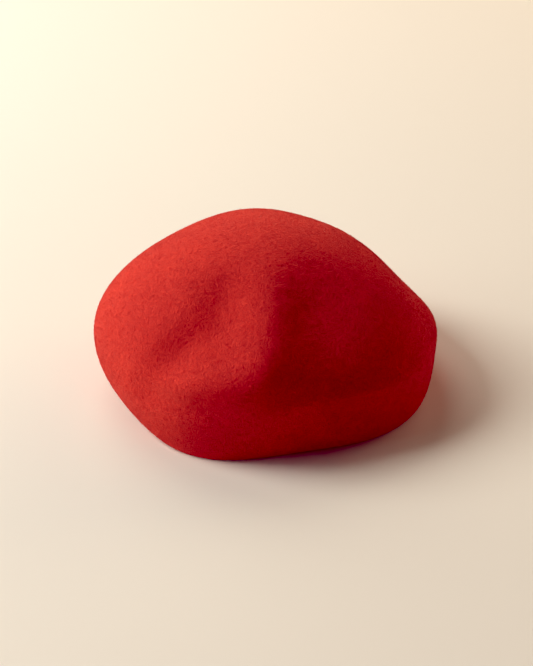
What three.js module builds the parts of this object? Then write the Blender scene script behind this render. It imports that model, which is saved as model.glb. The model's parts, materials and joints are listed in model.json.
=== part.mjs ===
// Puffed wool felt beret, resting on a table on its turned-in underside.
// Millimetres, +Z up. Azimuth 0 is +X, azimuth 90 is +Y, and -Y is the side shown in front.

import * as THREE from 'three';

const { degToRad, radToDeg, euclideanModulo, lerp, smoothstep } = THREE.MathUtils;

// Driving dimensions
const CROWN_HEIGHT = 120;
const FELT_THICKNESS = 2.2;
const MOUTH_RADIUS = 88;
const MOUTH_CENTRE = { x: 7, y: -8 };

// Lengths over which the dome turns from its round top into its straighter flank, and from
// that into the upright felt of the rim
const DOME_ROUNDING = 95;
const RIM_ROUNDING = 2;

// Sections at equal steps of azimuth: the rim is the widest line, the foot is where the
// felt meets the table, and a larger fullness makes the crown stand out more above the rim
const SECTIONS = [
  { azimuth: 0, rimRadius: 126, rimHeight: 34, footRadius: 117, fullness: 1.5 },
  { azimuth: 30, rimRadius: 125, rimHeight: 35, footRadius: 110, fullness: 1.5 },
  { azimuth: 60, rimRadius: 119, rimHeight: 37, footRadius: 104, fullness: 1.58 },
  { azimuth: 90, rimRadius: 120, rimHeight: 40, footRadius: 100, fullness: 1.83 },
  { azimuth: 120, rimRadius: 122, rimHeight: 40, footRadius: 98, fullness: 1.8 },
  { azimuth: 150, rimRadius: 123, rimHeight: 40, footRadius: 96, fullness: 1.7 },
  { azimuth: 180, rimRadius: 127, rimHeight: 39, footRadius: 94, fullness: 1.8 },
  { azimuth: 210, rimRadius: 125, rimHeight: 34, footRadius: 98, fullness: 1.8 },
  { azimuth: 240, rimRadius: 125.5, rimHeight: 31, footRadius: 119.5, fullness: 1.7 },
  { azimuth: 270, rimRadius: 119, rimHeight: 40, footRadius: 110.5, fullness: 1.5 },
  { azimuth: 300, rimRadius: 119.5, rimHeight: 42, footRadius: 111, fullness: 1.4 },
  { azimuth: 330, rimRadius: 125.5, rimHeight: 39, footRadius: 120.5, fullness: 1.4 },
];

// Soft folds of the crown: centre in plan, half length along and half width across the fold,
// turn of its length from +X in degrees, and how far it lifts or sinks the felt
const FOLDS = [
  { name: 'upper valley', x: -31, y: -70, along: 20, across: 14, turn: 86, lift: -6.8 },
  { name: 'lower valley', x: -62, y: -87, along: 14, across: 9, turn: 0, lift: -5 },
  { name: 'front lobe', x: -34, y: -111, along: 21, across: 6, turn: -12, lift: 5 },
  { name: 'lobe corner', x: -5, y: -107, along: 14, across: 10, turn: 0, lift: 5 },
  { name: 'front ridge', x: 6, y: -84, along: 26, across: 10, turn: 86, lift: 2.5 },
  { name: 'right flat', x: 40, y: -68, along: 24, across: 22, turn: -78, lift: -6 },
  { name: 'right slope', x: 80, y: 42, along: 16, across: 12, turn: 125, lift: -2.5 },
  { name: 'right hollow', x: 103, y: 32, along: 24, across: 12, turn: 100, lift: -6.5 },
  { name: 'right bump', x: 124, y: 8, along: 16, across: 8, turn: 90, lift: 2 },
];

// The folds fade out between these heights above the table
const FOLD_FADE = { none: 15, full: 45 };

// Shallow creases that run round the hat near its rim; a negative depth raises the felt
const CREASES = [
  { name: 'front tuck', azimuth: 290, height: 30, halfAngle: 22, halfHeight: 9, depth: 1 },
  { name: 'right tuck', azimuth: 325, height: 28, halfAngle: 20, halfHeight: 8, depth: 1 },
  { name: 'edge groove', azimuth: 305, height: 51, halfAngle: 30, halfHeight: 5, depth: 1.2 },
  { name: 'left crease', azimuth: 246, height: 41, halfAngle: 16, halfHeight: 6, depth: 2.8 },
  { name: 'lobe edge', azimuth: 240, height: 55, halfAngle: 16, halfHeight: 6, depth: -3 },
];

// Mesh density: steps round the hat, and rows down each stretch of its two faces
const AZIMUTH_STEPS = 80;
const OUTER_ROWS = { crown: 22, flank: 9, ring: 2 };
const INNER_ROWS = { crown: 16, flank: 7, ring: 1 };
const LIP_ROWS = 2;

// Step used for the slopes of the surface
const SLOPE_STEP = 1e-3;

// Value of one column of the sections at any azimuth: the smooth periodic curve through them
function sectionValue(column, azimuth) {
  const count = SECTIONS.length;
  return SECTIONS.reduce((sum, section) => {
    const offset = azimuth - degToRad(section.azimuth);
    const atSection = Math.abs(Math.sin(offset / 2)) < 1e-9;
    const weight = atSection ? 1 : Math.sin(count * offset / 2) / (count * Math.tan(offset / 2));
    return sum + weight * section[column];
  }, 0);
}

// Crown from the apex (share 0) to the rim (share 1)
function crownPoint(azimuth, share) {
  const rimRadius = sectionValue('rimRadius', azimuth);
  const rimHeight = sectionValue('rimHeight', azimuth);
  const radius = rimRadius * Math.sin(share * Math.PI / 2);
  const rounded = (length, rounding) => Math.hypot(length, rounding) - rounding;
  const left = Math.max(1 - rounded(radius, DOME_ROUNDING) / rounded(rimRadius, DOME_ROUNDING), 0);
  const bent = rounded(CROWN_HEIGHT - rimHeight, RIM_ROUNDING) * left ** (1 / sectionValue('fullness', azimuth));
  const rise = Math.sqrt((bent + RIM_ROUNDING) ** 2 - RIM_ROUNDING ** 2);
  return polarPoint(azimuth, radius, rimHeight + rise);
}

// Flank from the rim (share 0) in a quarter ellipse down to the foot (share 1)
function flankPoint(azimuth, share) {
  const turn = share * Math.PI / 2;
  const rimHeight = sectionValue('rimHeight', azimuth);
  const footRadius = sectionValue('footRadius', azimuth);
  const overhang = sectionValue('rimRadius', azimuth) - footRadius;
  return polarPoint(azimuth, footRadius + overhang * Math.cos(turn), rimHeight * (1 - Math.sin(turn)));
}

// Flat underside from the foot (share 0) to where the lip of the mouth begins (share 1)
function ringPoint(azimuth, share) {
  const foot = polarPoint(azimuth, sectionValue('footRadius', azimuth), 0);
  return foot.lerp(mouthPoint(azimuth, MOUTH_RADIUS + FELT_THICKNESS / 2, 0), share);
}

function polarPoint(azimuth, radius, height) {
  return new THREE.Vector3(radius * Math.cos(azimuth), radius * Math.sin(azimuth), height);
}

function mouthPoint(azimuth, radius, height) {
  const centre = new THREE.Vector3(MOUTH_CENTRE.x, MOUTH_CENTRE.y, 0);
  return polarPoint(azimuth, radius, height).add(centre);
}

// Smooth form before folding; way runs 0 to 1 down the crown, to 2 down the flank, to 3 along the ring
function smoothPoint(azimuth, way) {
  if (way <= 1) return crownPoint(azimuth, way);
  if (way <= 2) return flankPoint(azimuth, way - 1);
  return ringPoint(azimuth, way - 2);
}

// Outward normal of a surface given as a function of azimuth and way
function normalOf(surface, azimuth, way) {
  if (way < SLOPE_STEP) return new THREE.Vector3(0, 0, 1);
  const ahead = Math.min(way + SLOPE_STEP, 3);
  const down = surface(azimuth, ahead).sub(surface(azimuth, way - SLOPE_STEP));
  const round = surface(azimuth + SLOPE_STEP, way).sub(surface(azimuth - SLOPE_STEP, way));
  return down.cross(round).normalize();
}

function bell(distance, halfWidth) {
  return Math.exp(-0.5 * (distance / halfWidth) ** 2);
}

// How far the folds and creases move the felt outward at a point of the smooth form
function foldLift(point) {
  const fade = smoothstep(point.z, FOLD_FADE.none, FOLD_FADE.full);
  const folds = FOLDS.reduce((sum, fold) => {
    const offset = new THREE.Vector2(point.x - fold.x, point.y - fold.y);
    offset.rotateAround(new THREE.Vector2(), -degToRad(fold.turn));
    return sum + fold.lift * bell(offset.x, fold.along) * bell(offset.y, fold.across);
  }, 0);
  const azimuth = radToDeg(Math.atan2(point.y, point.x));
  const creases = CREASES.reduce((sum, crease) => {
    const offset = euclideanModulo(azimuth - crease.azimuth + 180, 360) - 180;
    const strength = bell(offset, crease.halfAngle) * bell(point.z - crease.height, crease.halfHeight);
    return sum + crease.depth * strength;
  }, 0);
  return point.z > 0 ? folds * fade - creases : 0;
}

// Outer face of the felt
function outerPoint(azimuth, way) {
  const point = smoothPoint(azimuth, way);
  return point.addScaledVector(normalOf(smoothPoint, azimuth, way), foldLift(point));
}

// Inner face, one felt thickness inside the outer face
function innerPoint(azimuth, way) {
  const normal = normalOf(outerPoint, azimuth, way);
  return outerPoint(azimuth, way).addScaledVector(normal, -FELT_THICKNESS);
}

// Rounded lip of the mouth, from the underside (share 0) to the inner face (share 1)
function lipPoint(azimuth, share) {
  const round = FELT_THICKNESS / 2;
  const turn = share * Math.PI;
  return mouthPoint(azimuth, MOUTH_RADIUS + round * (1 - Math.sin(turn)), round * (1 - Math.cos(turn)));
}

// Ways of the rows of one face, from the first below the apex to the edge of the mouth
function rowWays(rows) {
  return [rows.crown, rows.flank, rows.ring].flatMap((count, stretch) => (
    Array.from({ length: count }, (_, row) => lerp(stretch, stretch + 1, (row + 1) / count))
  ));
}

// All the closed rings of points in order: outer face, lip, then inner face back to its apex
function shellRings() {
  const azimuths = Array.from({ length: AZIMUTH_STEPS }, (_, step) => step * 2 * Math.PI / AZIMUTH_STEPS);
  const lipShares = Array.from({ length: LIP_ROWS }, (_, row) => (row + 1) / (LIP_ROWS + 1));
  const ringOf = (surface) => (share) => azimuths.map((azimuth) => surface(azimuth, share));
  return [
    ...rowWays(OUTER_ROWS).map(ringOf(outerPoint)),
    ...lipShares.map(ringOf(lipPoint)),
    ...rowWays(INNER_ROWS).reverse().map(ringOf(innerPoint)),
  ];
}

// One closed surface: a fan at each apex, and strips of triangles from ring to ring
function shellGeometry() {
  const rings = shellRings();
  const points = [outerPoint(0, 0), ...rings.flat(), innerPoint(0, 0)];
  const vertex = (ring, step) => 1 + ring * AZIMUTH_STEPS + step % AZIMUTH_STEPS;
  const last = rings.length - 1;
  const index = [];
  for (let step = 0; step < AZIMUTH_STEPS; step += 1) {
    index.push(0, vertex(0, step), vertex(0, step + 1));
    for (let ring = 0; ring < last; ring += 1) {
      const [a, b] = [vertex(ring, step), vertex(ring, step + 1)];
      const [c, d] = [vertex(ring + 1, step), vertex(ring + 1, step + 1)];
      index.push(a, c, d, a, d, b);
    }
    index.push(points.length - 1, vertex(last, step + 1), vertex(last, step));
  }
  const geometry = new THREE.BufferGeometry().setFromPoints(points);
  geometry.setIndex(index);
  geometry.computeVertexNormals();
  return geometry;
}

// The origin is the centre of the hat's box, on the table
function centreOnOrigin(geometry) {
  geometry.computeBoundingBox();
  const centre = geometry.boundingBox.getCenter(new THREE.Vector3());
  return geometry.translate(-centre.x, -centre.y, -geometry.boundingBox.min.z);
}

const redFelt = new THREE.MeshStandardMaterial({ color: 0xc8281c, roughness: 0.95, metalness: 0 });

const shell = new THREE.Mesh(centreOnOrigin(shellGeometry()), redFelt);
shell.name = 'felt_shell';

const beret = new THREE.Group();
beret.add(shell);

export default beret;
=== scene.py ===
"""Looks of a puffed red wool felt beret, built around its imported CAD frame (metres, +Z up)."""

import json
import logging
import math
from dataclasses import dataclass
from enum import Enum
from typing import Callable

import bpy
import numpy as np
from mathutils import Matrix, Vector

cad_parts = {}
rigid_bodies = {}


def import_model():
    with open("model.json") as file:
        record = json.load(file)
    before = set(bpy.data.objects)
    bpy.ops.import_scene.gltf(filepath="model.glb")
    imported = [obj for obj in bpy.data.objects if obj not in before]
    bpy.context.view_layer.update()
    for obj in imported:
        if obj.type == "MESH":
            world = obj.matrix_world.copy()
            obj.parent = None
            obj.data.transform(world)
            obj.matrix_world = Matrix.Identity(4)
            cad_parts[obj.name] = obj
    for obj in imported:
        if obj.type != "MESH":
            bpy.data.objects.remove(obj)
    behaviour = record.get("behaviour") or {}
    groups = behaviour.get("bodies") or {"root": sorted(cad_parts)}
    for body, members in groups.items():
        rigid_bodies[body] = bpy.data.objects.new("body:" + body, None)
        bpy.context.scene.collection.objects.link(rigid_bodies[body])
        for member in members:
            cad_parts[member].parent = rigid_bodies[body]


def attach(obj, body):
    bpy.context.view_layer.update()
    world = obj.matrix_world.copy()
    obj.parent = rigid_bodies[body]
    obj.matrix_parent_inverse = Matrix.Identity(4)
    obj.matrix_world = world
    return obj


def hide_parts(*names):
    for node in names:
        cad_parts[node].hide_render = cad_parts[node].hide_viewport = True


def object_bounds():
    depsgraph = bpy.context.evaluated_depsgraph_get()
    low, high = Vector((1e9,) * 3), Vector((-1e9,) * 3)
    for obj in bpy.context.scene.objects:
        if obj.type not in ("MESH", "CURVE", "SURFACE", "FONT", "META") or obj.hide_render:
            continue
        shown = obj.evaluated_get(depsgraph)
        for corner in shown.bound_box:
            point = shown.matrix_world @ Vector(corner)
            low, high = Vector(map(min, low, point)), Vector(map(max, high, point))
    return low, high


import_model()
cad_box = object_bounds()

LOG = logging.getLogger("beret")
MM = 0.001
# The sine of half an angle, below which two azimuths count as one.
SAME_AZIMUTH = 1e-9
# A vector's length, below which it isn't divided by.
NO_LENGTH = 1e-12
# The middle of a noise pattern, which runs from 0 to 1.
NOISE_MIDDLE = 0.5
# A face of the felt: azimuths and ways go in, and points come out.
Surface = Callable[[np.ndarray, np.ndarray], np.ndarray]


def rounded(length: np.ndarray, rounding: float) -> np.ndarray:
    """Eases a length in, so that it starts as a soft curve of the rounding's size."""
    return np.hypot(length, rounding) - rounding


def direction(turn: float, rise: float) -> Vector:
    """Gives a unit vector from two angles in degrees.

    Args:
        turn: its turn from +X about +Z.
        rise: its rise above the level.

    Returns:
        The vector.
    """
    turn, rise = math.radians(turn), math.radians(rise)
    level = math.cos(rise)
    return Vector((level * math.cos(turn), level * math.sin(turn), math.sin(rise)))


@dataclass(frozen=True)
class Section:
    """One upright section of the hat, in degrees and millimetres.

    A larger fullness makes the crown stand out more above its rim.
    """

    azimuth: float
    rim_radius: float
    rim_height: float
    foot_radius: float
    fullness: float


@dataclass(frozen=True)
class Fold:
    """A soft fold of the crown, in millimetres, with the turn of its length from +X in degrees."""

    x: float
    y: float
    along: float
    across: float
    turn: float
    lift: float


@dataclass(frozen=True)
class Crease:
    """A shallow crease that runs round the hat near its rim, in degrees and millimetres.

    A negative depth raises the felt.
    """

    azimuth: float
    height: float
    half_angle: float
    half_height: float
    depth: float


SECTIONS = (
    Section(0, 126, 34, 117, 1.5),
    Section(30, 125, 35, 110, 1.5),
    Section(60, 119, 37, 104, 1.58),
    Section(90, 120, 40, 100, 1.83),
    Section(120, 122, 40, 98, 1.8),
    Section(150, 123, 40, 96, 1.7),
    Section(180, 127, 39, 94, 1.8),
    Section(210, 125, 34, 98, 1.8),
    Section(240, 125.5, 31, 119.5, 1.7),
    Section(270, 119, 40, 110.5, 1.5),
    Section(300, 119.5, 42, 111, 1.4),
    Section(330, 125.5, 39, 120.5, 1.4),
)

FOLDS = {
    "upper valley": Fold(-31, -70, 20, 14, 86, -6.8),
    "lower valley": Fold(-62, -87, 14, 9, 0, -5),
    "front lobe": Fold(-34, -111, 21, 6, -12, 5),
    "lobe corner": Fold(-5, -107, 14, 10, 0, 5),
    "front ridge": Fold(6, -84, 26, 10, 86, 2.5),
    "right flat": Fold(40, -68, 24, 22, -78, -6),
    "right slope": Fold(80, 42, 16, 12, 125, -2.5),
    "right hollow": Fold(103, 32, 24, 12, 100, -6.5),
    "right bump": Fold(124, 8, 16, 8, 90, 2),
}

CREASES = {
    "front tuck": Crease(290, 30, 22, 9, 1),
    "right tuck": Crease(325, 28, 20, 8, 1),
    "edge groove": Crease(305, 51, 30, 5, 1.2),
    "left crease": Crease(246, 41, 16, 6, 2.8),
    "lobe edge": Crease(240, 55, 16, 6, -3),
}


@dataclass(frozen=True)
class CrownForm:
    """The hat's form as a function of azimuth (radians) and way, in millimetres.

    Way runs from 0 at the apex to 1 at the rim, 2 at the foot and 3 at the mouth's lip.
    """

    crown_height: float = 120
    felt_thickness: float = 2.2
    mouth_radius: float = 88
    mouth_centre: tuple[float, float] = (7, -8)
    dome_rounding: float = 95
    rim_rounding: float = 2
    fade_from: float = 15
    fade_to: float = 45
    slope_step: float = 1e-3

    def around(self, column: str, azimuth: np.ndarray) -> np.ndarray:
        """Reads one column of the sections on the smooth periodic curve through them.

        Args:
            column: the name of a Section's size.
            azimuth: azimuths in radians.

        Returns:
            The column's value at each azimuth.
        """
        count = len(SECTIONS)
        value = np.zeros_like(azimuth)
        for section in SECTIONS:
            offset = azimuth - math.radians(section.azimuth)
            on_section = np.abs(np.sin(offset / 2)) < SAME_AZIMUTH
            slope = np.where(on_section, 1.0, count * np.tan(offset / 2))
            weight = np.where(on_section, 1.0, np.sin(count * offset / 2) / slope)
            value = value + weight * getattr(section, column)
        return value

    def smooth(self, azimuth: np.ndarray, way: np.ndarray) -> np.ndarray:
        """Gives points of the form before it is folded.

        Args:
            azimuth: azimuths in radians, of any shape that fits way's.
            way: ways down the hat.

        Returns:
            Points, with the coordinates on the last axis.
        """
        azimuth, way = np.broadcast_arrays(azimuth, way)
        rim, rim_z = self.around("rim_radius", azimuth), self.around("rim_height", azimuth)
        foot, full = self.around("foot_radius", azimuth), self.around("fullness", azimuth)
        crown_r = rim * np.sin(np.clip(way, 0, 1) * math.pi / 2)
        bend, edge = self.dome_rounding, self.rim_rounding
        left = 1 - rounded(crown_r, bend) / rounded(rim, bend)
        bent = rounded(self.crown_height - rim_z, edge) * np.clip(left, 0, 1) ** (1 / full)
        crown_z = rim_z + np.sqrt((bent + edge) ** 2 - edge**2)
        turn = np.clip(way - 1, 0, 1) * math.pi / 2
        on_crown = way <= 1
        radius = np.where(on_crown, crown_r, foot + (rim - foot) * np.cos(turn))
        height = np.where(on_crown, crown_z, rim_z * (1 - np.sin(turn)))
        x, y = radius * np.cos(azimuth), radius * np.sin(azimuth)
        share = np.clip(way - 2, 0, 1)
        lip_r = self.mouth_radius + self.felt_thickness / 2
        x = x + share * (self.mouth_centre[0] + lip_r * np.cos(azimuth) - x)
        y = y + share * (self.mouth_centre[1] + lip_r * np.sin(azimuth) - y)
        return np.stack([x, y, np.where(way >= 2, 0.0, height)], axis=-1)

    def normal(self, surface: Surface, azimuth: np.ndarray, way: np.ndarray) -> np.ndarray:
        """Gives the outward normals of a surface.

        Args:
            surface: a function of azimuth and way.
            azimuth: azimuths in radians.
            way: ways down the hat.

        Returns:
            Unit normals, with the coordinates on the last axis.
        """
        azimuth, way = np.broadcast_arrays(azimuth, way)
        step = self.slope_step
        ahead, behind = np.minimum(way + step, 3), np.maximum(way - step, 0)
        down = surface(azimuth, ahead) - surface(azimuth, behind)
        around = surface(azimuth + step, way) - surface(azimuth - step, way)
        normal = np.cross(down, around)
        length = np.linalg.norm(normal, axis=-1, keepdims=True)
        at_apex = (way < step)[..., None]
        upright = np.array([0.0, 0.0, 1.0])
        return np.where(at_apex, upright, normal / np.maximum(length, NO_LENGTH))

    def lift(self, point: np.ndarray) -> np.ndarray:
        """Works out how far the folds and creases move the felt outward.

        Args:
            point: points of the smooth form.

        Returns:
            The move along the outward normal at each point, in millimetres.
        """
        x, y, z = point[..., 0], point[..., 1], point[..., 2]
        folds = np.zeros_like(x)
        for fold in FOLDS.values():
            turn, from_x, from_y = math.radians(fold.turn), x - fold.x, y - fold.y
            along = (from_x * math.cos(turn) + from_y * math.sin(turn)) / fold.along
            across = (from_y * math.cos(turn) - from_x * math.sin(turn)) / fold.across
            folds += fold.lift * np.exp(-(along**2 + across**2) / 2)
        share = np.clip((z - self.fade_from) / (self.fade_to - self.fade_from), 0, 1)
        folds *= share * share * (3 - 2 * share)
        azimuth = np.degrees(np.arctan2(y, x))
        for crease in CREASES.values():
            offset = (azimuth - crease.azimuth + 180) % 360 - 180
            round_share = (offset / crease.half_angle) ** 2
            up_share = ((z - crease.height) / crease.half_height) ** 2
            folds -= crease.depth * np.exp(-(round_share + up_share) / 2)
        return np.where(z > 0, folds, 0.0)

    def outer(self, azimuth: np.ndarray, way: np.ndarray) -> np.ndarray:
        """Gives points of the felt's outer face.

        Args:
            azimuth: azimuths in radians.
            way: ways down the hat.

        Returns:
            Points, with the coordinates on the last axis.
        """
        point = self.smooth(azimuth, way)
        return point + self.normal(self.smooth, azimuth, way) * self.lift(point)[..., None]

    def inner(self, azimuth: np.ndarray, way: np.ndarray) -> np.ndarray:
        """Gives points of the felt's inner face, one thickness inside the outer one.

        Args:
            azimuth: azimuths in radians.
            way: ways down the hat.

        Returns:
            Points, with the coordinates on the last axis.
        """
        inward = -self.felt_thickness * self.normal(self.outer, azimuth, way)
        return self.outer(azimuth, way) + inward

    def lip(self, azimuth: np.ndarray, share: np.ndarray) -> np.ndarray:
        """Gives points of the mouth's rounded lip.

        Args:
            azimuth: azimuths in radians.
            share: 0 at the underside to 1 at the inner face.

        Returns:
            Points, with the coordinates on the last axis.
        """
        azimuth, share = np.broadcast_arrays(azimuth, share)
        edge, turn = self.felt_thickness / 2, share * math.pi
        radius = self.mouth_radius + edge * (1 - np.sin(turn))
        x = self.mouth_centre[0] + radius * np.cos(azimuth)
        y = self.mouth_centre[1] + radius * np.sin(azimuth)
        return np.stack([x, y, edge * (1 - np.cos(turn))], axis=-1)


class NodeTree:
    """Short ways to add and join the nodes of a material or geometry tree."""

    def __init__(self, tree: bpy.types.NodeTree) -> None:
        """Keeps the tree that the nodes are added to."""
        self.tree = tree

    def add(self, kind: str, inputs: dict | None = None, **settings: object) -> bpy.types.Node:
        """Adds a node.

        Args:
            kind: the node's type name.
            inputs: input name or index to a value, or to the socket it is joined from.
            settings: the node's own properties.

        Returns:
            The new node.
        """
        node = self.tree.nodes.new(kind)
        for name, value in settings.items():
            setattr(node, name, value)
        for key, value in (inputs or {}).items():
            if isinstance(value, bpy.types.NodeSocket):
                self.tree.links.new(value, node.inputs[key])
            else:
                node.inputs[key].default_value = value
        return node

    def math(self, operation: str, *values: object, clamp: bool = False) -> bpy.types.NodeSocket:
        """Adds a Math node.

        Args:
            operation: the node's operation.
            values: its inputs, numbers or sockets.
            clamp: whether the result stays between 0 and 1.

        Returns:
            The result's socket.
        """
        inputs = dict(enumerate(values))
        return self.add("ShaderNodeMath", inputs, operation=operation, use_clamp=clamp).outputs[0]


class GeometryTree(NodeTree):
    """A Geometry Nodes tree with named inputs, used once on a base and then taken off it."""

    def __init__(self, name: str, values: dict[str, object]) -> None:
        """Makes the tree and its inputs.

        Args:
            name: the tree's name.
            values: each input's name and its value, a number, a material or a collection.
        """
        super().__init__(bpy.data.node_groups.new(name, "GeometryNodeTree"))
        self.values = values
        sockets, geometry = self.tree.interface, "NodeSocketGeometry"
        sockets.new_socket("Geometry", in_out="INPUT", socket_type=geometry)
        for label, value in values.items():
            sockets.new_socket(label, in_out="INPUT", socket_type=self.socket_type(value))
        sockets.new_socket("Geometry", in_out="OUTPUT", socket_type=geometry)
        self.given = self.add("NodeGroupInput").outputs

    @staticmethod
    def socket_type(value: object) -> str:
        """Names the kind of socket that holds a value.

        Args:
            value: the input's value.

        Returns:
            The socket's type name.
        """
        if isinstance(value, bpy.types.Material):
            return "NodeSocketMaterial"
        if isinstance(value, bpy.types.Collection):
            return "NodeSocketCollection"
        return "NodeSocketInt" if isinstance(value, int) else "NodeSocketFloat"

    def random(
        self, smallest: object, largest: object, **inputs: bpy.types.NodeSocket
    ) -> bpy.types.NodeSocket:
        """Adds a Random Value node for plain numbers.

        Args:
            smallest: the least value, a number or a socket.
            largest: the greatest value, a number or a socket.
            inputs: the node's ID or Seed.

        Returns:
            The result's socket.
        """
        # Its sockets for other kinds of value have the same names, so these go by their place.
        low, high, result = 2, 3, 1
        given = {low: smallest, high: largest, **inputs}
        return self.add("FunctionNodeRandomValue", given, data_type="FLOAT").outputs[result]

    def finish(self, geometry: bpy.types.NodeSocket) -> None:
        """Ends the tree: instances become real, and everything gets the input named Felt.

        Args:
            geometry: the geometry to give out.
        """
        real = self.add("GeometryNodeRealizeInstances", {"Geometry": geometry}).outputs["Geometry"]
        dressing = {"Geometry": real, "Material": self.given["Felt"]}
        dressed = self.add("GeometryNodeSetMaterial", dressing).outputs["Geometry"]
        self.add("NodeGroupOutput", {"Geometry": dressed})

    def run(self, base: bpy.types.Object) -> bpy.types.Mesh:
        """Runs the tree on a base, which is used up.

        Args:
            base: the object that the tree works on.

        Returns:
            The result as a plain mesh.
        """
        modifier = base.modifiers.new(self.tree.name, "NODES")
        modifier.node_group = self.tree
        for item in self.tree.interface.items_tree:
            if item.in_out == "INPUT" and item.name in self.values:
                modifier[item.identifier] = self.values[item.name]
        graph = bpy.context.evaluated_depsgraph_get()
        mesh = bpy.data.meshes.new_from_object(base.evaluated_get(graph), depsgraph=graph)
        base.modifiers.remove(modifier)
        bpy.data.objects.remove(base)
        return mesh


@dataclass(frozen=True)
class WoolFelt:
    """Fulled wool felt: a matte red with matted strands, small pits painted darker than the strand
    crests as painted shade, and a soft orange sheen.
    """

    name: str = "wool_felt"
    # The deep red goes into the hollows of the relief as painted shade, and the bright red goes
    # onto its crests as painted highlight.
    deep: tuple[float, float, float] = (0.57, 0.052, 0.031)
    middle: tuple[float, float, float] = (0.67, 0.061, 0.034)
    bright: tuple[float, float, float] = (0.78, 0.074, 0.038)
    tone_stops: tuple[float, float, float] = (0.28, 0.50, 0.72)
    strand_size: float = 2.1 * MM
    strand_twist: float = 1.4
    strand_sharpness: float = 6.0
    strand_share: float = 0.55
    fine_size: float = 1.5 * MM
    fine_share: float = 0.45
    mottle_size: float = 1.1 * MM
    mottle_twist: float = 0.6
    mottle_height: float = 0.9
    cloud_size: float = 32 * MM
    # How much the nap and the mottle paint shade into their hollows and highlight onto their
    # crests, and how much the clouds vary the tone at random.
    nap_painted_shading: float = 0.4
    mottle_painted_shading: float = 0.25
    cloud_tone: float = 0.35
    relief: float = 0.42 * MM
    roughness: float = 0.95
    specular: float = 0.1
    sheen: float = 0.25
    sheen_roughness: float = 0.5
    sheen_tint: tuple[float, float, float] = (1.0, 0.33, 0.20)

    def build(self) -> bpy.types.Material:
        """Makes the material: the strands and mottle raise it and colour it darker in their hollows
        and lighter on their crests, as painted shade and painted highlight of that relief, and
        clouds vary its colour slowly.

        Returns:
            The material.
        """
        material = bpy.data.materials.new(self.name)
        material.use_nodes = True
        material.diffuse_color = (*self.middle, 1)
        tree = NodeTree(material.node_tree)
        shader = material.node_tree.nodes["Principled BSDF"]
        place = tree.add("ShaderNodeTexCoord").outputs["Object"]
        strands = self.strands(tree, place, self.strand_size)
        fine = self.strands(tree, place, self.fine_size)
        mottle = self.noise(tree, place, self.mottle_size, detail=3, twist=self.mottle_twist)
        clouds = self.noise(tree, place, self.cloud_size, detail=2, twist=0)
        fine_nap = tree.math("MULTIPLY", fine, self.fine_share)
        nap = tree.math("MULTIPLY_ADD", strands, self.strand_share, fine_nap)
        height = tree.math("MULTIPLY_ADD", mottle, self.mottle_height, nap)
        raised = {"Height": height, "Distance": self.relief, "Strength": 1.0}
        bump = tree.add("ShaderNodeBump", raised)
        # Painted shade and painted highlight: the same nap and mottle that the bump raises make the
        # colour darker in the hollows and lighter on the crests. The clouds add random tone.
        tone_and_shading = tree.math("MULTIPLY", mottle, self.mottle_painted_shading)
        tone_and_shading = tree.math("MULTIPLY_ADD", nap, self.nap_painted_shading, tone_and_shading)
        tone_and_shading = tree.math("MULTIPLY_ADD", clouds, self.cloud_tone, tone_and_shading, clamp=True)
        tree.tree.links.new(self.colour(tree, tone_and_shading), shader.inputs["Base Color"])
        tree.tree.links.new(bump.outputs["Normal"], shader.inputs["Normal"])
        shader.inputs["Roughness"].default_value = self.roughness
        shader.inputs["Specular IOR Level"].default_value = self.specular
        shader.inputs["Sheen Weight"].default_value = self.sheen
        shader.inputs["Sheen Roughness"].default_value = self.sheen_roughness
        shader.inputs["Sheen Tint"].default_value = (*self.sheen_tint, 1)
        return material

    def colour(self, tree: NodeTree, tone_and_shading: bpy.types.NodeSocket) -> bpy.types.NodeSocket:
        """Adds the ramp from the deep red over the middle one to the bright one, which carries the
        painted shade of the hollows and the painted highlight of the crests.

        Args:
            tree: the material's tree.
            tone_and_shading: what runs along the ramp, 0 to 1.

        Returns:
            The colour's socket.
        """
        ramp = tree.add("ShaderNodeValToRGB", {"Fac": tone_and_shading})
        low, mid, high = self.tone_stops
        stops = ramp.color_ramp.elements
        stops[0].position, stops[0].color = low, (*self.deep, 1)
        stops[1].position, stops[1].color = high, (*self.bright, 1)
        middle = stops.new(mid)
        middle.color = (*self.middle, 1)
        return ramp.outputs["Color"]

    def noise(
        self, tree: NodeTree, place: bpy.types.NodeSocket, size: float, detail: float, twist: float
    ) -> bpy.types.NodeSocket:
        """Adds a noise pattern.

        Args:
            tree: the material's tree.
            place: the coordinates that it reads.
            size: the size of its blots, in metres.
            detail: how many finer layers it has.
            twist: how far it is distorted.

        Returns:
            The pattern's socket, 0 to 1.
        """
        inputs = {"Vector": place, "Scale": 1 / size, "Detail": detail, "Distortion": twist}
        return tree.add("ShaderNodeTexNoise", inputs).outputs["Fac"]

    def strands(
        self, tree: NodeTree, place: bpy.types.NodeSocket, size: float
    ) -> bpy.types.NodeSocket:
        """Adds matted strands: winding crests where a twisted noise passes its middle.

        Args:
            tree: the material's tree.
            place: the coordinates that it reads.
            size: how far apart the strands lie, in metres.

        Returns:
            The pattern's socket, 1 on a strand and 0 between strands.
        """
        wave = self.noise(tree, place, size, detail=1, twist=self.strand_twist)
        away = tree.math("ABSOLUTE", tree.math("SUBTRACT", wave, NOISE_MIDDLE))
        fall = tree.math("MULTIPLY", away, self.strand_sharpness)
        return tree.math("SUBTRACT", 1.0, fall, clamp=True)


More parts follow.
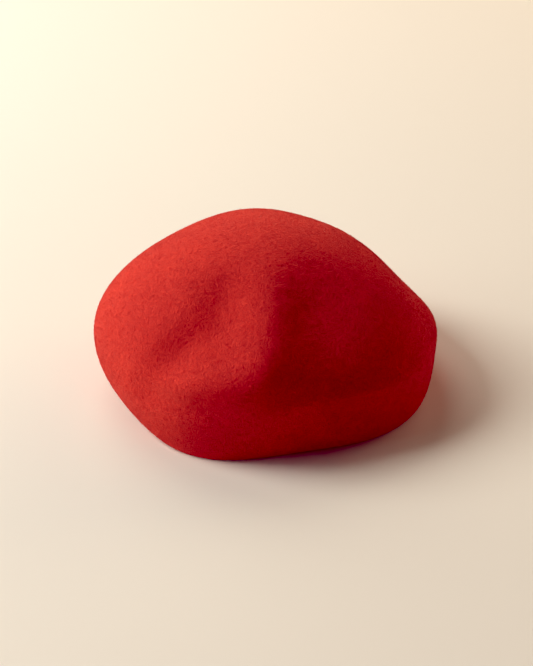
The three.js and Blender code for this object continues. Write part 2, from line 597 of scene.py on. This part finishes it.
def finished_piece(
    name: str, mesh: bpy.types.Mesh, replaces: tuple[str, ...] = ()
) -> bpy.types.Object:
    """Puts a finished mesh in the scene as a piece that rides with the hat.

    Args:
        name: the piece's name.
        mesh: its mesh, in place.
        replaces: the CAD nodes that it stands for.

    Returns:
        The piece.
    """
    piece = bpy.data.objects.new(name, mesh)
    bpy.context.scene.collection.objects.link(piece)
    mesh.name = name
    for polygon in mesh.polygons:
        polygon.use_smooth = True
    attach(piece, "root")
    if replaces:
        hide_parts(*replaces)
    LOG.info("%s: %d faces", name, len(mesh.polygons))
    return piece


@dataclass
class FeltShell:
    """The whole hat: one wall of felt, from the apex round the rim to the mouth and back inside."""

    form: CrownForm
    felt: bpy.types.Material
    steps: int = 480
    outer_rows: tuple[int, int, int] = (96, 34, 8)
    lip_rows: int = 5
    inner_rows: tuple[int, int, int] = (32, 14, 5)
    unevenness: float = 0.3 * MM
    lump_size: float = 7 * MM
    lump_detail: float = 2.0
    flat_height: float = 12 * MM

    def ways(self, rows: tuple[int, int, int]) -> np.ndarray:
        """Gives the ways of one face's rows, from the first below the apex to the lip.

        Args:
            rows: how many rows lie on the crown, the flank and the ring.

        Returns:
            The ways.
        """
        stretches = [start + np.arange(1, count + 1) / count for start, count in enumerate(rows)]
        return np.concatenate(stretches)

    def points(self) -> np.ndarray:
        """Works out every ring of points in order, with an apex at either end.

        Returns:
            The points in metres, one row each.
        """
        azimuth = np.arange(self.steps) * 2 * math.pi / self.steps
        lip_shares = np.arange(1, self.lip_rows + 1) / (self.lip_rows + 1)
        rings = [
            self.form.outer(azimuth[None, :], self.ways(self.outer_rows)[:, None]),
            self.form.lip(azimuth[None, :], lip_shares[:, None]),
            self.form.inner(azimuth[None, :], self.ways(self.inner_rows)[::-1, None]),
        ]
        apex = np.zeros(1)
        ends = [self.form.outer(apex, apex), self.form.inner(apex, apex)]
        points = np.concatenate([ends[0], *(ring.reshape(-1, 3) for ring in rings), ends[1]]) * MM
        centre = (points.min(axis=0) + points.max(axis=0)) / 2
        target = (cad_box[0] + cad_box[1]) / 2
        return points + np.array([target.x - centre[0], target.y - centre[1], 0.0])

    def apex_fan(self) -> list[tuple[int, ...]]:
        """Closes the outer apex, point 0, with triangles to the first ring."""
        return [(0, 1 + step, 1 + (step + 1) % self.steps) for step in range(self.steps)]

    def band(self, ring: int) -> list[tuple[int, ...]]:
        """Joins one ring of points with the next.

        Args:
            ring: the first ring's number, from 0 below the outer apex.

        Returns:
            The quads between them, each a tuple of point numbers.
        """
        step = np.arange(self.steps)
        after = (step + 1) % self.steps
        near, far = 1 + ring * self.steps, 1 + (ring + 1) * self.steps
        corners = np.stack([near + step, far + step, far + after, near + after], axis=1)
        return [tuple(face) for face in corners.tolist()]

    def faces(self, ring_count: int) -> list[tuple[int, ...]]:
        """Joins the rings with quads and closes both apexes with fans.

        Args:
            ring_count: how many rings there are.

        Returns:
            The faces, each a tuple of point numbers.
        """
        faces = self.apex_fan()
        for ring in range(ring_count - 1):
            faces += self.band(ring)
        steps = self.steps
        inner, last = 1 + (ring_count - 1) * steps, 1 + ring_count * steps
        faces += [(last, inner + (step + 1) % steps, inner + step) for step in range(steps)]
        return faces

    def uneven(self, base: bpy.types.Object) -> bpy.types.Mesh:
        """Makes the felt slightly uneven, as fulling leaves it, but flat where it rests.

        Args:
            base: the smooth shell, which is used up.

        Returns:
            The uneven shell.
        """
        values = {"Unevenness": self.unevenness, "Lump size": self.lump_size, "Felt": self.felt}
        tree = GeometryTree("fulled_felt", values)
        place = tree.add("GeometryNodeInputPosition").outputs["Position"]
        scale = tree.math("DIVIDE", 1.0, tree.given["Lump size"])
        pattern = {"Vector": place, "Scale": scale, "Detail": self.lump_detail}
        lumps = tree.add("ShaderNodeTexNoise", pattern).outputs["Fac"]
        swing = tree.math("SUBTRACT", lumps, NOISE_MIDDLE)
        amount = tree.math("MULTIPLY", swing, tree.given["Unevenness"])
        height = tree.add("ShaderNodeSeparateXYZ", {"Vector": place}).outputs["Z"]
        fade = tree.math("DIVIDE", height, self.flat_height, clamp=True)
        amount = tree.math("MULTIPLY", amount, fade)
        normal = tree.add("GeometryNodeInputNormal").outputs["Normal"]
        move = tree.add("ShaderNodeVectorMath", {0: normal, "Scale": amount}, operation="SCALE")
        parts = {"Geometry": tree.given["Geometry"], "Offset": move.outputs["Vector"]}
        tree.finish(tree.add("GeometryNodeSetPosition", parts).outputs["Geometry"])
        return tree.run(base)

    def build(self) -> bpy.types.Object:
        """Makes the shell and puts it in the CAD node's place.

        Returns:
            The piece.
        """
        points = self.points()
        mesh = bpy.data.meshes.new("smooth_shell")
        mesh.from_pydata(points.tolist(), [], self.faces((len(points) - 2) // self.steps))
        smooth = bpy.data.objects.new("smooth_shell", mesh)
        bpy.context.scene.collection.objects.link(smooth)
        return finished_piece("felt_beret", self.uneven(smooth), ("felt_shell",))


class FibreKind(Enum):
    """The kinds of wool fibre that lie on the felt."""

    MATTED = "matted"
    FUZZ = "fuzz"


@dataclass(frozen=True)
class Fibre:
    """A short bent fibre, in metres and degrees."""

    length: float
    thickness: float
    rise: float
    bend: float
    curl: float
    sides: int = 3
    thin_share: float = 0.8

    def spine(self) -> list[Vector]:
        """Lays out the fibre's middle line, which starts just inside the felt and runs along +X.

        Returns:
            Its points, from the root to the tip.
        """
        parts = 3
        step = self.length / parts
        points = [Vector((0, 0, -self.thickness / 2))]
        for part in range(parts):
            way = direction((part - 1) * self.curl, self.rise - part * self.bend)
            points.append(points[-1] + way * step)
        return points

    def ring(self, centre: Vector, width: float) -> list[Vector]:
        """Lays out the points round one place of the middle line.

        Args:
            centre: the place.
            width: how far from it they are.

        Returns:
            The points.
        """
        turns = [math.radians(90 + side * 360 / self.sides) for side in range(self.sides)]
        return [centre + Vector((0, -math.cos(turn), math.sin(turn))) * width for turn in turns]

    def mesh(self, name: str) -> bpy.types.Mesh:
        """Makes the fibre as a closed spindle.

        Args:
            name: the mesh's name.

        Returns:
            The mesh.
        """
        root, wide, thin, tip = self.spine()
        half = self.thickness / 2
        points = [root, *self.ring(wide, half), *self.ring(thin, half * self.thin_share), tip]
        near, far, last = 1, 1 + self.sides, 1 + 2 * self.sides
        faces = []
        for side in range(self.sides):
            after = (side + 1) % self.sides
            faces += [
                (0, near + after, near + side),
                (near + side, near + after, far + after),
                (near + side, far + after, far + side),
                (far + side, far + after, last),
            ]
        mesh = bpy.data.meshes.new(name)
        mesh.from_pydata(points, [], faces)
        return mesh


FIBRES = {
    FibreKind.MATTED: (
        Fibre(2.8 * MM, 0.08 * MM, 9, 8, 30),
        Fibre(3.4 * MM, 0.07 * MM, 7, 6, -40),
        Fibre(2.2 * MM, 0.09 * MM, 12, 11, 20),
        Fibre(3.0 * MM, 0.08 * MM, 8, 8, 55),
    ),
    FibreKind.FUZZ: (
        Fibre(1.4 * MM, 0.06 * MM, 55, 22, 30),
        Fibre(2.0 * MM, 0.05 * MM, 38, 14, -35),
        Fibre(1.0 * MM, 0.06 * MM, 70, 10, 15),
    ),
}


@dataclass
class Nap:
    """The loose wool fibres that stand on and lie along the outside of the felt."""

    shell: FeltShell
    felt: bpy.types.Material
    kind: FibreKind
    pieces: int
    fibres: int = 15500
    lowest_way: float = 1.8
    short_height: float = 5 * MM
    smallest: float = 0.6
    largest: float = 1.3
    first_seed: int = 11

    def ground(self) -> bpy.types.Object:
        """Makes the bare outside of the crown and flank, which the fibres stand on.

        Returns:
            The ground as an object.
        """
        points = self.shell.points()
        ways = self.shell.ways(self.shell.outer_rows)
        rings = int(np.sum(ways <= self.lowest_way))
        faces = self.shell.apex_fan()
        for ring in range(rings - 1):
            faces += self.shell.band(ring)
        mesh = bpy.data.meshes.new("nap_ground")
        mesh.from_pydata(points[: 1 + rings * self.shell.steps].tolist(), [], faces)
        ground = bpy.data.objects.new("nap_ground", mesh)
        bpy.context.scene.collection.objects.link(ground)
        return ground

    def kinds(self) -> bpy.types.Collection:
        """Makes the fibres to choose from.

        Returns:
            Their collection.
        """
        collection = bpy.data.collections.new(f"{self.kind.value}_fibres")
        bpy.context.scene.collection.children.link(collection)
        for number, fibre in enumerate(FIBRES[self.kind]):
            name = f"{self.kind.value}_fibre_{number}"
            collection.objects.link(bpy.data.objects.new(name, fibre.mesh(name)))
        return collection

    def strew(
        self, ground: bpy.types.Object, fibres: bpy.types.Collection, seed: int
    ) -> bpy.types.Mesh:
        """Strews fibres over the ground, each upright to it and turned and sized at random.

        Args:
            ground: what they stand on, which is used up.
            fibres: the fibres to choose from.
            seed: the seed of everything random.

        Returns:
            All the fibres as one mesh.
        """
        area = sum(polygon.area for polygon in ground.data.polygons)
        values = {
            "Fibres each square metre": self.fibres / area,
            "Fibres": fibres,
            "Smallest": self.smallest,
            "Largest": self.largest,
            "Short below": self.short_height,
            "Seed": seed,
            "Felt": self.felt,
        }
        tree = GeometryTree("nap", values)
        strewn = {
            "Mesh": tree.given["Geometry"],
            "Density": tree.given["Fibres each square metre"],
            "Seed": tree.given["Seed"],
        }
        places = tree.add("GeometryNodeDistributePointsOnFaces", strewn, distribute_method="RANDOM")
        choice = {"Collection": tree.given["Fibres"], "Separate Children": True}
        shapes = tree.add("GeometryNodeCollectionInfo", choice)
        placed = {
            "Points": places.outputs["Points"],
            "Instance": shapes.outputs["Instances"],
            "Pick Instance": True,
            "Rotation": self.turn(tree, places.outputs["Rotation"]),
            "Scale": self.scale(tree),
        }
        tree.finish(tree.add("GeometryNodeInstanceOnPoints", placed).outputs["Instances"])
        return tree.run(ground)

    def turn(self, tree: GeometryTree, upright: bpy.types.NodeSocket) -> bpy.types.NodeSocket:
        """Turns each fibre at random about the felt's outward direction.

        Args:
            tree: the nap's tree.
            upright: the rotations that stand each fibre upright to the felt.

        Returns:
            The rotations' socket.
        """
        spin = tree.random(0.0, 2 * math.pi, Seed=tree.given["Seed"])
        about = {"Axis": (0, 0, 1), "Angle": spin}
        turn = tree.add("FunctionNodeAxisAngleToRotation", about).outputs["Rotation"]
        parts = {"Rotation": upright, "Rotate By": turn}
        stand = tree.add("FunctionNodeRotateRotation", parts, rotation_space="LOCAL")
        return stand.outputs["Rotation"]

    def scale(self, tree: GeometryTree) -> bpy.types.NodeSocket:
        """Sizes each fibre at random, and shorter the nearer it is to the table.

        Args:
            tree: the nap's tree.

        Returns:
            The sizes' socket.
        """
        index = tree.add("GeometryNodeInputIndex").outputs["Index"]
        size = tree.random(tree.given["Smallest"], tree.given["Largest"], ID=index)
        place = tree.add("GeometryNodeInputPosition").outputs["Position"]
        height = tree.add("ShaderNodeSeparateXYZ", {"Vector": place}).outputs["Z"]
        near_table = tree.math("DIVIDE", height, tree.given["Short below"], clamp=True)
        return tree.math("MULTIPLY", size, near_table)

    def build(self) -> list[bpy.types.Object]:
        """Makes the nap's pieces and clears the fibres that they were made from.

        Returns:
            The pieces.
        """
        fibres = self.kinds()
        pieces = []
        for number in range(self.pieces):
            mesh = self.strew(self.ground(), fibres, self.first_seed + number)
            name = f"{self.kind.value}_nap_{number + 1}"
            pieces.append(finished_piece(name, mesh))
        for fibre in list(fibres.objects):
            bpy.data.objects.remove(fibre)
        bpy.data.collections.remove(fibres)
        return pieces


@dataclass(frozen=True)
class SoftLight:
    """A large round light that faces the hat, in degrees, metres and watts."""

    azimuth: float
    elevation: float
    size: float
    power: float
    colour: tuple[float, float, float]
    distance: float = 2.7

    def build(self, name: str) -> None:
        """Makes the light.

        Args:
            name: the light's name.
        """
        data = bpy.data.lights.new(name, "AREA")
        data.shape = "DISK"
        data.size = self.size
        data.energy = self.power
        data.color = self.colour
        toward = direction(self.azimuth, self.elevation)
        light = bpy.data.objects.new(name, data)
        light.location = toward * self.distance
        light.rotation_euler = toward.to_track_quat("Z", "Y").to_euler()
        bpy.context.scene.collection.objects.link(light)


SOFT_LIGHTS = {
    "key": SoftLight(170, 39, 1.4, 67, (1.0, 0.98, 0.95)),
    "left": SoftLight(186, 24, 1.9, 25, (1.0, 0.97, 0.93)),
    "back": SoftLight(112, 38, 1.9, 31, (1.0, 0.90, 0.80)),
    "right": SoftLight(32, 12, 1.5, 25, (1.0, 0.72, 0.46)),
    "far": SoftLight(55, 25, 1.9, 14, (1.0, 0.76, 0.52)),
    "front": SoftLight(308, 11, 0.45, 5, (1.0, 0.86, 0.72)),
}


@dataclass(frozen=True)
class Studio:
    """The camera, the pale floor and the soft light from the left, as in the photograph."""

    camera_elevation: float = 31
    camera_distance: float = 1.1
    camera_target: tuple[float, float, float] = (0.0005, 0.0015, 0.033)
    focal_pixels: float = 1480
    image_height: float = 666
    sensor: float = 36
    floor_colour: tuple[float, float, float] = (0.80, 0.75, 0.65)
    floor_half_side: float = 12
    floor_roughness: float = 0.7
    black_point: tuple[float, float, float] = (0.0, 0.030, 0.009)
    world_colour: tuple[float, float, float] = (1.0, 0.72, 0.45)
    world_strength: float = 0.027

    def camera(self) -> None:
        """Makes the scene's camera at the photograph's angle to the hat."""
        data = bpy.data.cameras.new("camera")
        data.sensor_width = self.sensor
        data.lens = self.focal_pixels / self.image_height * self.sensor
        camera = bpy.data.objects.new("camera", data)
        tilt = math.radians(self.camera_elevation)
        back = Vector((0, -math.cos(tilt), math.sin(tilt)))
        camera.location = Vector(self.camera_target) + back * self.camera_distance
        camera.rotation_euler = back.to_track_quat("Z", "Y").to_euler()
        bpy.context.scene.collection.objects.link(camera)
        bpy.context.scene.camera = camera

    def floor(self) -> None:
        """Makes the plain pale floor."""
        side = self.floor_half_side
        corners = [(-side, -side, 0), (side, -side, 0), (side, side, 0), (-side, side, 0)]
        mesh = bpy.data.meshes.new("floor")
        mesh.from_pydata(corners, [], [(0, 1, 2, 3)])
        material = bpy.data.materials.new("floor")
        material.use_nodes = True
        shader = material.node_tree.nodes["Principled BSDF"]
        shader.inputs["Base Color"].default_value = (*self.floor_colour, 1)
        shader.inputs["Roughness"].default_value = self.floor_roughness
        mesh.materials.append(material)
        floor = bpy.data.objects.new("floor", mesh)
        bpy.context.scene.collection.objects.link(floor)

    def lights(self) -> None:
        """Makes the soft lights, the dim world and the picture's black point."""
        for name, light in SOFT_LIGHTS.items():
            light.build(name)
        world = bpy.data.worlds.new("world")
        world.use_nodes = True
        background = world.node_tree.nodes["Background"]
        background.inputs["Color"].default_value = (*self.world_colour, 1)
        background.inputs["Strength"].default_value = self.world_strength
        bpy.context.scene.world = world
        view = bpy.context.scene.view_settings
        view.view_transform = "Standard"
        view.use_curve_mapping = True
        view.curve_mapping.black_level = self.black_point


def main() -> None:
    """Builds the studio and the hat's pieces in order."""
    logging.basicConfig(level=logging.INFO, format="%(name)s: %(message)s")
    studio = Studio()
    studio.camera()
    studio.floor()
    studio.lights()
    felt = WoolFelt().build()
    shell = FeltShell(CrownForm(), felt)
    pieces = [shell.build()]
    pieces += Nap(shell, felt, FibreKind.MATTED, pieces=3).build()
    pieces += Nap(shell, felt, FibreKind.FUZZ, pieces=1).build()
    LOG.info("the hat has %d pieces", len(pieces))


if __name__ == "__main__":
    main()
